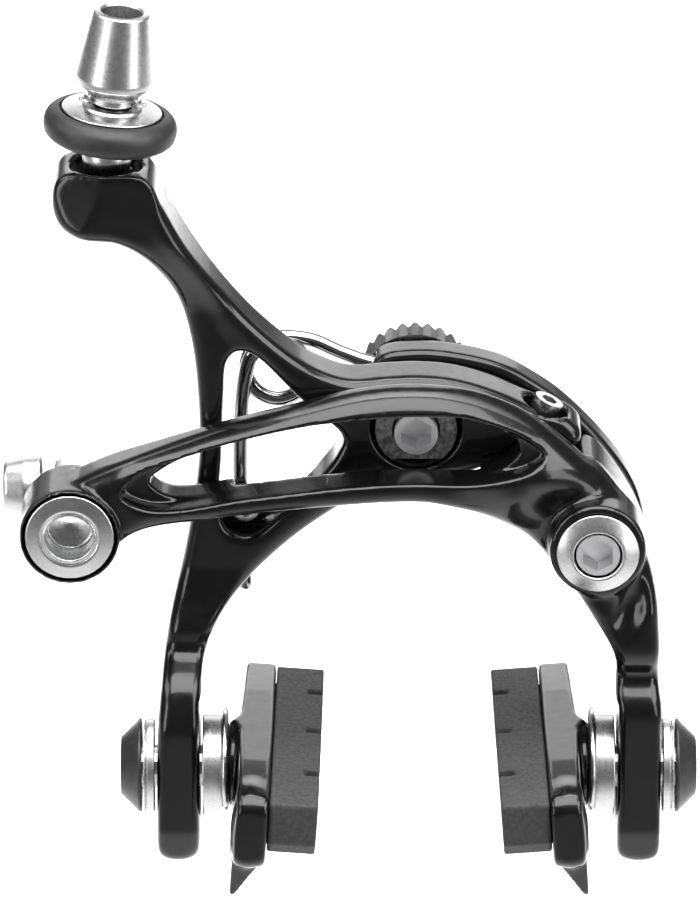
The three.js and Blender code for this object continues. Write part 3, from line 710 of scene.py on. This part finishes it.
def rounded(profile, r):
    """Rounds every corner of a closed profile that turns by more than a little."""
    steps = 3
    out = []
    count = len(profile)
    for i in range(count):
        a, b, c = (np.array(profile[(i + k) % count], float) for k in (-1, 0, 1))
        to_a, to_c = a - b, c - b
        la, lc = np.linalg.norm(to_a), np.linalg.norm(to_c)
        cosine = np.dot(to_a, to_c) / (la * lc)
        if cosine < -0.97:
            out.append(tuple(b))
            continue
        cut = min(r, 0.4 * la, 0.4 * lc)
        start, end = b + to_a / la * cut, b + to_c / lc * cut
        for k in range(steps + 1):
            t = k / steps
            point = (1 - t) ** 2 * start + 2 * t * (1 - t) * b + t**2 * end
            out.append(tuple(point))
    return out


def adjuster():
    base = tuple(ADJUSTER_BASE)
    axis = ADJUSTER_AXIS
    barrel = [
        (1.1, 1.2), (2.2, 1.2), (2.2, 9.2), (2.95, 9.3), (2.95, 10.3), (3.25, 10.5),
        (5.1, 12.1), (5.2, 12.9), (3.65, 21.7), (2.95, 21.9), (2.7, 21.7), (2.7, 12.5),
        (1.1, 11.6),
    ]
    lathe("adjuster_cone", rounded(barrel, 0.2), base, axis, TURNED["Z"], "adjuster_barrel")
    disc = [
        (2.6, 4.2), (4.4, 4.2), (6.1, 4.5), (6.1, 4.9), (4.5, 5.2), (4.5, 7.3), (6.6, 7.7),
        (6.6, 8.3), (4.6, 8.45), (3.9, 8.5), (3.7, 8.9), (2.6, 8.9),
    ]
    lathe("adjuster_plate", rounded(disc, 0.12), base, axis, TURNED["Z"], "adjuster_disc")
    tyre = [
        (4.8, 5.5), (6.4, 5), (6.4, 4.4), (6.7, 4.1), (7.1, 4), (7.6, 4.05), (8.1, 4.35),
        (8.42, 4.75), (8.47, 4.72), (8.55, 4.85), (8.7, 5.3), (8.78, 5.8), (8.78, 6.3),
        (8.68, 6.8), (8.45, 7.25), (8.1, 7.65), (7.7, 7.9), (7.3, 8.05), (6.9, 8.1),
        (6.9, 7.45), (4.8, 7),
    ]
    lathe("adjuster_grip_ring", tyre, base, axis, RING_RUBBER, "adjuster_rubber_ring")
    seat = [
        (2.6, -0.6), (2.85, -0.2), (3.05, 0.25), (3.2, 0.8), (3.3, 1.6), (3.3, 2.4), (3, 3.3),
        (2.6, 3.9),
    ]
    lathe("adjuster_ball", seat, base, axis, TURNED["Z"], "ball_seat")


def pivot_cap():
    cap = [(3.2, 0), (5.45, 0), (5.45, 0.3), (3.6, 1.15), (3.35, 1.15), (3.2, 1)]
    base, axis = (PIVOT[0], -28.2, PIVOT[1]), (0, -1, 0)
    lathe("pivot_cap", rounded(cap, 0.12), base, axis, TURNED["Y"], "side_pivot_cap")


def pad_washers(side, hand):
    """Everything turned on a pad's stud."""

    def turned(name, profile, material, node):
        base, axis = (RIM_X, PAD_Y, PAD_Z), (side, 0, 0)
        lathe(f"{name}_{hand}", profile, base, axis, material, f"{node}_{hand}")

    nut = [
        (3.2, 35.8), (6.2, 35.8), (6.3, 35.95), (6.3, 36.2), (6.0, 36.4), (3.95, 38.5),
        (3.8, 38.6), (3.2, 38.6),
    ]
    turned("nut", rounded(nut, 0.12), SATIN_BLACK, "pad_nut")
    outer = [
        (3.2, 34.1), (6.3, 34.1), (6.3, 35.05), (5.9, 35.1), (5.9, 35.25), (6.2, 35.3),
        (6.2, 35.5), (3.2, 35.5),
    ]
    turned("washer_outer", rounded(outer, 0.08), TURNED["X"], "pad_outer_washer")
    inner = [(3.2, 24.9), (6.8, 24.9), (6.8, 27.6), (3.2, 27.6)]
    turned("washer_inner", rounded(inner, 0.2), TURNED["X"], "pad_inner_washer")
    cup = [(3.2, 24.1), (5.7, 24.1), (6.1, 24.35), (6.1, 24.7), (3.2, 24.7)]
    turned("washer_cup", rounded(cup, 0.08), SATIN_BLACK, "pad_cup_washer")


def anchor_barrel():
    """Turned barrel in the cable eye: shallow cone in front, blind hole, flat block behind."""
    g = Grid("anchor_barrel", 0.2)
    away = np.hypot(g.x - EYE[0], g.z - EYE[1])
    cone = (-28.2 + 0.22 * np.maximum(away - 3.9, 0) - g.y) * 0.976
    flange = round_both(np.maximum(away - 5.95, g.y + 27.1), cone, 0.15)
    body = np.minimum(flange, g.cylinder_y(EYE, 4.9, -27.5, -17.2, 0.1))
    block = round_both(away - 4.2, EYE[0] - 2.6 - g.x, 0.3)
    body = np.minimum(body, round_both(block, np.maximum(-17.6 - g.y, g.y + 9.4), 0.3))
    hole = np.maximum(away - 3.1, g.y + 24 + (away - 3.1) * 0.35)
    groove = np.maximum(np.abs(away - 3.65) - 0.14, g.y + 28)
    for tool in (hole, groove, g.cylinder_x(*CLAMP, 2.4, -60, -30)):
        body = round_both(body, -tool, 0.08)
    piece = g.mesh("anchor", body, (EYE[0], -20, EYE[1]))
    finish_piece(piece, TURNED["Y"], "anchor_barrel")


def clamp_bolt():
    """Tapered barrel head with a hex socket, shank through the anchor."""
    g = Grid("anchor_clamp_bolt", 0.18)
    out = EYE[0] - g.x
    rise = 0.3 * np.clip((out - 4.1) / 5.2, 0, 1)
    away = np.hypot(g.y - CLAMP[0], g.z - CLAMP[1] - rise)
    side = (away - np.interp(out, [4.1, 6.5, 9.3], [4.45, 4.1, 3.3])) * 0.98
    head = round_both(side, np.maximum(4.1 - out, out - 9.3), 0.45)
    shank = np.maximum(away - 2.1, np.maximum(-4.8 - out, out - 5))
    body = np.minimum(head, shank)
    y, z = g.y - CLAMP[0], g.z + 11.05
    flats = np.maximum(np.abs(z) - 2, np.abs(0.866 * y + 0.5 * z) - 2)
    flats = np.maximum(flats, np.abs(0.866 * y - 0.5 * z) - 2)
    body = round_both(body, -np.maximum(flats, 6 - out), 0.12)
    piece = g.mesh("clamp_bolt", body, (EYE[0], CLAMP[0], -11.2))
    finish_piece(piece, TURNED["X"], "anchor_clamp_bolt")


# Wires


def smooth_path(points, per_span):
    """Open smooth curve through points."""
    p = [np.array(q, float) for q in points]
    p = [2 * p[0] - p[1]] + p + [2 * p[-1] - p[-2]]
    out = []
    for i in range(1, len(p) - 2):
        a, b, c, d = p[i - 1 : i + 3]
        for k in range(per_span):
            t = k / per_span
            square = (2 * a - 5 * b + 4 * c - d) * t**2
            cube = (3 * b - a - 3 * c + d) * t**3
            out.append(0.5 * (2 * b + (c - a) * t + square + cube))
    out.append(p[-2])
    return out


def tube(name, points, radius, per_span, sides):
    """Wire with its flat ends rounded off: spots are (point, share of the radius)."""
    path = [Vector(q) for q in smooth_path(points, per_span)]
    first, last = (path[1] - path[0]).normalized(), (path[-1] - path[-2]).normalized()
    spots = [(path[0], 0.62), (path[0] + first * radius * 0.35, 0.93)]
    spots += [(q, 1) for q in path[1:-1]]
    spots += [(path[-1] - last * radius * 0.35, 0.93), (path[-1], 0.62)]
    normal = first.orthogonal().normalized()
    vertices, faces = [], []
    before = first
    for i, (q, share) in enumerate(spots):
        ahead = spots[min(i + 1, len(spots) - 1)][0] - spots[max(i - 1, 0)][0]
        ahead.normalize()
        normal = before.rotation_difference(ahead) @ normal
        before = ahead
        other = ahead.cross(normal)
        for k in range(sides):
            a = 2 * math.pi * k / sides
            spoke = normal * math.cos(a) + other * math.sin(a)
            vertices.append(tuple(q + spoke * radius * share))
    rings = len(spots)
    for i in range(rings - 1):
        for k in range(sides):
            j = (k + 1) % sides
            faces.append([i * sides + k, i * sides + j, (i + 1) * sides + j, (i + 1) * sides + k])
    faces.append(list(range(sides))[::-1])
    faces.append([(rings - 1) * sides + k for k in range(sides)])
    obj = new_object(name, vertices, faces)
    tidy_mesh(obj)
    set_sharp(obj, 50)
    return obj


def return_spring():
    """One wire from the bridge, round its coil and down to the block on the arm."""
    points = [(-3, -7, 4.5), (-6, -6.9, 4.6), (-10, -6.5, 5.9), (-14, -6, 7.5)]
    for i in range(11):
        a = math.pi / 2 + i * math.pi / 4
        points.append((-18.5 + 4.2 * math.cos(a), -5.9 - 0.27 * i, 3.6 + 4.2 * math.sin(a)))
    points += [(-23.3, -8.7, -2), (-23.5, -8.5, -10), (-23.3, -8.5, -18), (-22.9, -8.5, -27.6)]
    piece = tube("spring_wire", points, 0.99, 8, 16)
    piece.data.materials.append(SPRING_STEEL)
    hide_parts("return_spring")
    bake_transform(piece)


def clips():
    points = [(4.3, -2.6, 10.2)]
    for i in range(10):
        a = -0.5 + i / 9 * (math.pi + 1)
        points.append((3.5 * math.cos(a), 3.5 * math.sin(a), 9.7))
    points.append((-4.3, -2.6, 10.2))
    turn = Vector((0, 0, 1)).rotation_difference(ADJUSTER_AXIS).to_matrix()
    placed = [tuple(ADJUSTER_BASE + turn @ Vector(q)) for q in points]
    finish_piece(tube("adjuster_wire", placed, 0.34, 6, 12), STEEL, "adjuster_clip")
    for side, hand in ((-1, "left"), (1, "right")):
        x = RIM_X + side * 24.6
        points = []
        for i in range(9):
            a = -0.4 + i / 8 * (math.pi + 0.8)
            points.append((x, PAD_Y + 7.4 * math.cos(a), PAD_Z + 7.4 * math.sin(a)))
        finish_piece(tube(f"stud_wire_{hand}", points, 0.39, 6, 12), STEEL, f"pad_clip_{hand}")


# Seat washer


def seat_washer():
    """Ring with two rows of pointed teeth on its back, as one surface over angle and radius."""
    outer, inner, face, front = 7.9, 3.2, -2.3, -4.6
    tooth = 2.28
    # Middle radius, half width and number of teeth of each row.
    rows = [(outer - 0.3, 1.1, 28), (outer - 2.2, 0.95, 18)]
    radii = np.linspace(inner, outer, 34)
    sides = 28 * 12
    vertices, faces = [], []

    def height(r, a):
        best = 0
        for middle, half, count in rows:
            along = abs(((a * count / (2 * math.pi) + 0.5) % 1) - 0.5) * 2
            across = abs(r - middle) / half
            best = max(best, 1 - max(along * 1.05, across))
        return face - 0.02 + max(best, 0) * tooth

    for r in radii:
        for k in range(sides):
            a = 2 * math.pi * k / sides
            vertices.append((r * math.cos(a), height(r, a), r * math.sin(a)))
    rings = len(radii)
    for r in (outer - 0.25, inner):
        for k in range(sides):
            a = 2 * math.pi * k / sides
            vertices.append((r * math.cos(a), front, r * math.sin(a)))
    loops = list(range(rings)) + [rings, rings + 1]
    for lower, upper in zip(loops, loops[1:] + loops[:1]):
        for k in range(sides):
            j = (k + 1) % sides
            low, high = lower * sides, upper * sides
            faces.append([low + k, low + j, high + j, high + k])
    obj = new_object("toothed_washer", vertices, faces)
    tidy_mesh(obj)
    set_sharp(obj, 30)
    finish_piece(obj, WASHER_STEEL, "seat_washer")


# Pads

HOLDER_BACK = 18.5  # where the holder meets the rubber, from the rim's middle


def lean(side):
    """The pads lean out and toe in about the stud's inner end, as in the CAD."""
    pivot = Vector((RIM_X + side * 22, PAD_Y, PAD_Z))
    camber = Matrix.Rotation(math.radians(-side * 4), 4, "Y")
    toe_in = Matrix.Rotation(math.radians(side * 0.8), 4, "Z")
    return Matrix.Translation(pivot) @ camber @ toe_in @ Matrix.Translation(-pivot)


class PadGrid(Grid):
    """Grid in the pad's own frame: out is the distance from the rim's middle, before the lean."""

    def __init__(self, side, low, high, voxel):
        a, b = RIM_X + side * low[0], RIM_X + side * high[0]
        low = np.array([min(a, b), low[1], low[2]], float)
        high = np.array([max(a, b), high[1], high[2]], float)
        self.lay_out(low, high, voxel)
        self.out = (self.x - RIM_X) * side
        self.along = self.y - PAD_Y
        self.up = self.z - PAD_Z

    def bar(self, near, far, length, height, rise, r, end_r):
        """Bar that follows the rim's curve, rounded along its edges and in side view."""
        half = length / 2
        curve = 0.5 - (self.along / half) ** 2 * 0.9
        tall = np.abs(self.up - rise - curve) - height / 2
        long = np.abs(self.along) - half
        side_view = round_both(long, tall, end_r)
        wide = np.maximum(near - self.out, self.out - far)
        return round_both(side_view, wide, r)


def leaned(obj, side):
    obj.data.transform(Matrix.Scale(1 / MM, 4))
    obj.data.transform(lean(side))
    obj.data.transform(Matrix.Scale(MM, 4))
    return obj


def pad_holder(side, hand):
    """Shell on the rubber's back: ear and boss at the stud, nose and fin at the far end."""
    low = (HOLDER_BACK, PAD_Y - 23.2, -59)
    g = PadGrid(side, low, (24.6, PAD_Y + 23.2, -41.4), 0.28)
    shell = g.bar(HOLDER_BACK, 23.1 - 0.02 * np.abs(g.along), 46.4, 10, 0.8, 0.7, 2.2)
    reach = g.out - 0.07 * g.up - 24  # square to the stud once the pad leans
    ear = np.maximum((np.abs(g.along - 1.2) + 1.9 * (g.out - 21) - 5.8) * 0.466, reach)
    ear = np.maximum(ear, np.abs(g.up - 0.9) - 5.2)
    ear = np.maximum(ear, 20 - g.out)
    shell = blend_min(shell, ear, 0.6)
    boss = np.maximum(np.hypot(g.along, g.up) - 5.6, np.maximum(20 - g.out, reach))
    shell = blend_min(shell, boss, 0.8)
    end = ((g.along + 19.4) / 3.8) ** 2 + ((g.up + 0.1) / 5.6) ** 2 + ((g.out - 20.9) / 2.4) ** 2
    shell = blend_min(shell, (np.sqrt(end) - 1) * 2.3, 1.2)
    drop = np.clip((-4.6 - g.up) / 6.4, 0, 1)
    wide = np.maximum(mix(18.8, 22.3, drop) - g.out, g.out - 22.9)
    thick = np.abs(g.along + 17.2) - mix(2.3, 0.5, drop)
    fin = round_both(np.maximum(wide, thick) * 0.85, np.maximum(-11 - g.up, g.up + 2), 0.3)
    shell = blend_min(shell, fin, 0.8)
    shell = np.maximum(shell, HOLDER_BACK - g.out)
    room = np.maximum(g.bar(12, 20, 41.8, 6.1, 1, 0.01, 2), g.out - 20)
    shell = round_both(shell, -room, 0.15)
    stud = np.maximum(np.hypot(g.along, g.up) - 3.2, 21.6 - g.out)
    shell = round_both(shell, -stud, 0.1)
    screw_x = RIM_X + side * 20.6
    screw = g.rod((screw_x, PAD_Y + 15, -48), (screw_x, PAD_Y + 15, -60), 1.5)
    shell = np.maximum(shell, -np.maximum(screw, g.z + 50))
    piece = leaned(g.mesh(f"holder_{hand}", shell), side)
    finish_piece(piece, PAINT, f"pad_holder_{hand}")


def pad_rubber(side, hand):
    """Rubber block with a sloped end, three grooves and a rib in the holder."""
    g = PadGrid(side, (12, PAD_Y - 22.3, -52), (19.7, PAD_Y + 22.3, -41.6), 0.26)
    body = g.bar(12, 18.42, 44.6, 8.8, 1, 0.25, 0.6)
    ramp_cut = (-1 - g.up - 0.9 * (g.along + 22)) * 0.743
    body = round_both(body, ramp_cut, 0.4)
    body = np.minimum(body, g.bar(18, 19.7, 41, 5.4, 1, 0.2, 1.5))
    for offset in (-13, 0, 13):
        groove = np.maximum(np.abs(g.along - offset) - 0.8, g.out - 14.1)
        body = round_both(body, -groove, 0.15)
    piece = leaned(g.mesh(f"rubber_{hand}", body), side)
    finish_piece(piece, PAD_RUBBER, f"pad_rubber_{hand}")


# CAD nodes that stay


def keep_node(node, material):
    """A CAD node with its own shape: finished edges and a better material."""
    obj = frame["nodes"][node]
    obj.data.materials.clear()
    obj.data.materials.append(material)
    for slot in obj.material_slots:
        slot.material = material
    edge = obj.modifiers.new("edges", "BEVEL")
    edge.width = 0.12 * MM
    edge.segments = 2
    edge.limit_method = "ANGLE"
    edge.angle_limit = math.radians(40)
    edge.harden_normals = False


KEPT = {
    "mounting_bolt": SOCKET_STEEL,
    "rear_thrust_washer": STEEL,
    "lock_plate": CAST,
    "side_pivot_bolt": SOCKET_STEEL,
    "side_thrust_washer": STEEL,
    "centre_bushing": BRONZE,
    "side_bushing": BRONZE,
    "centring_screw": STEEL,
    "spring_block_screw": STEEL,
    "follower_roller": STEEL,
    "follower_pin": STEEL,
    "anchor_ring": STEEL,
    "anchor_clamp_plate": STEEL,
    "pad_stud_left": STEEL,
    "pad_stud_right": STEEL,
    "pad_lock_screw_left": STEEL,
    "pad_lock_screw_right": STEEL,
}


# Studio


def area_light(name, place, aim, size, power, beam=180):
    data = bpy.data.lights.new(name, "AREA")
    data.shape = "RECTANGLE"
    data.size, data.size_y = size
    data.energy = power
    data.spread = math.radians(beam)
    light = bpy.data.objects.new(name, data)
    light.location = place
    direction = Vector(aim) - Vector(place)
    light.rotation_mode = "QUATERNION"
    light.rotation_quaternion = direction.to_track_quat("-Z", "Y")
    bpy.context.collection.objects.link(light)


# Name, place, aim and size in metres, watts, and the beam's angle where it isn't wide open.
LIGHTS = [
    ("overhead", (0, -0.12, 0.3), (0, -0.02, 0), (0.36, 0.3), 2.3),
    ("right_top", (0.31, -0.16, 0.24), (0, 0, 0), (0.3, 0.22), 1.2),
    ("left_top", (-0.36, -0.1, 0.24), (0, 0, 0), (0.28, 0.2), 0.7),
    ("backdrop", (0, 1.6, 0.45), (0, 0, 0.05), (1.2, 0.7), 4.4),
    ("backdrop_sides", (0, 1.62, 0.45), (0, 0, 0.05), (2.6, 0.7), 2),
    ("left_strip", (-0.38, -0.3, 0.04), (0, 0, 0.02), (0.16, 0.28), 0.6),
    ("right_strip", (0.38, -0.3, 0.04), (0, 0, 0.02), (0.16, 0.28), 0.6),
    ("floor_wash", (0, 0.9, 1.6), (0, 1.4, -0.3), (2.4, 1.2), 50, 100),
]
FLOOR_Z = -0.32


def studio():
    scene = bpy.context.scene
    scene.view_settings.view_transform = "Standard"
    scene.view_settings.look = "None"
    world = bpy.data.worlds.new("studio")
    scene.world = world
    world.use_nodes = True
    sky = world.node_tree.nodes["Background"]
    sky.inputs["Color"].default_value = (1, 1, 1, 1)
    sky.inputs["Strength"].default_value = 0.15
    bm = bmesh.new()
    bmesh.ops.create_grid(bm, x_segments=8, y_segments=8, size=3)
    mesh = bpy.data.meshes.new("floor")
    bm.to_mesh(mesh)
    bm.free()
    floor = bpy.data.objects.new("floor", mesh)
    floor.location = (0, 0, FLOOR_Z)
    bpy.context.collection.objects.link(floor)
    material, tree, shader = new_material("pale_floor", Roughness=0.9)
    shader.inputs["Specular IOR Level"].default_value = 0.1
    colour_of(tree, shader, add_noise(tree, 3), (0.93, 0.93, 0.93), (0.96, 0.96, 0.96))
    mesh.materials.append(material)
    for row in LIGHTS:
        area_light(*row)


# Assembly

make_camera()
cable_arm()
housing_arm()
bridge_plate()
spring_block()
adjuster()
pivot_cap()
anchor_barrel()
clamp_bolt()
return_spring()
clips()
seat_washer()
for SIDE, HAND in ((-1, "left"), (1, "right")):
    pad_washers(SIDE, HAND)
    pad_holder(SIDE, HAND)
    pad_rubber(SIDE, HAND)
for NODE, MATERIAL in KEPT.items():
    keep_node(NODE, MATERIAL)
studio()
